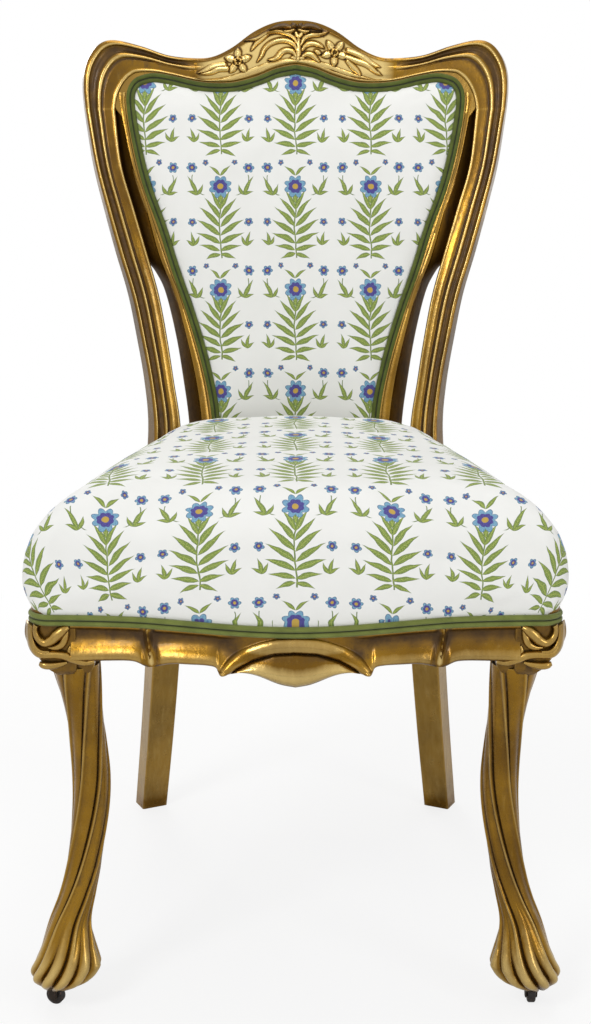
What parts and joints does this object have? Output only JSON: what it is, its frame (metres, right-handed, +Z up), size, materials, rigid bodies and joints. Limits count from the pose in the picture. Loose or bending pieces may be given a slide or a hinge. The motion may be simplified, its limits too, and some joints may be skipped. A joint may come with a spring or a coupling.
{
  "type": "upholstered side chair",
  "caption": "Carved and gilded side chair with a hollow, vase-shaped padded back, a domed sprung seat, fluted cabriole front legs on casters and splayed rear legs.",
  "frame": {"origin": "on the floor, in the middle of the chair's outline", "axes": "+X to the viewer's right of the chair's front, +Y from front to rear, +Z up"},
  "size_m": [0.514, 0.6017, 0.964],
  "materials": {
    "gilt_wood": "worn gold leaf over carved wood, brown where it has rubbed through",
    "bare_wood": "plain sawn wood",
    "printed_fabric": "woven cotton, off-white with a printed sprig in green, blue and ochre",
    "piping_green": "dark green double welt",
    "piping_olive": "olive double welt",
    "hessian": "open hessian weave",
    "stuffing": "curled fibre stuffing",
    "webbing": "jute webbing",
    "dust_cloth": "thin black cloth",
    "spring_steel": "dull wire",
    "caster_iron": "dark aged iron",
    "wheel_dark": "dark, dull tread"
  },
  "bodies": {
    "chair": {"crest_rail": "gilt_wood", "crest_dowels": "bare_wood", "shoe_rail": "gilt_wood", "front_seat_rail": "gilt_wood", "rear_seat_rail": "gilt_wood", "back_post_left": "gilt_wood", "back_post_right": "gilt_wood", "splat_stile_left": "gilt_wood", "splat_stile_right": "gilt_wood", "side_seat_rail_left": "gilt_wood", "side_seat_rail_right": "gilt_wood", "front_leg_left": "gilt_wood", "front_leg_right": "gilt_wood", "front_brace_left": "bare_wood", "front_brace_right": "bare_wood", "rear_brace_left": "bare_wood", "rear_brace_right": "bare_wood", "caster_socket_left": "caster_iron", "caster_socket_right": "caster_iron", "back_hessian": "hessian", "back_pad": "printed_fabric", "back_piping": "piping_green", "rear_back_panel": "printed_fabric", "rear_back_piping": "piping_green", "webbing_crosswise": "webbing", "webbing_lengthwise": "webbing", "seat_springs": "spring_steel", "seat_hessian": "hessian", "seat_stuffing": "stuffing", "seat_cover": "printed_fabric", "seat_piping": "piping_olive", "dust_cover": "dust_cloth"},
    "fork_left": {"caster_fork_left": "caster_iron", "caster_axle_left": "caster_iron"},
    "wheel_left": {"caster_wheel_left": "wheel_dark"},
    "fork_right": {"caster_fork_right": "caster_iron", "caster_axle_right": "caster_iron"},
    "wheel_right": {"caster_wheel_right": "wheel_dark"}
  },
  "joints": [
    {"name": "caster_swivel_left", "type": "hinge", "parent": "chair", "child": "fork_left", "pos_m": [-0.2315, -0.26289, 0.0215], "axis": [0, 0, 1], "continuous": true},
    {"name": "wheel_spin_left", "type": "hinge", "parent": "fork_left", "child": "wheel_left", "pos_m": [-0.23526, -0.26153, 0.009], "axis": [0.342, 0.9397, 0], "continuous": true},
    {"name": "caster_swivel_right", "type": "hinge", "parent": "chair", "child": "fork_right", "pos_m": [0.2315, -0.26289, 0.0215], "axis": [0, 0, 1], "continuous": true},
    {"name": "wheel_spin_right", "type": "hinge", "parent": "fork_right", "child": "wheel_right", "pos_m": [0.2315, -0.25889, 0.009], "axis": [1, 0, 0], "continuous": true}
  ]
}
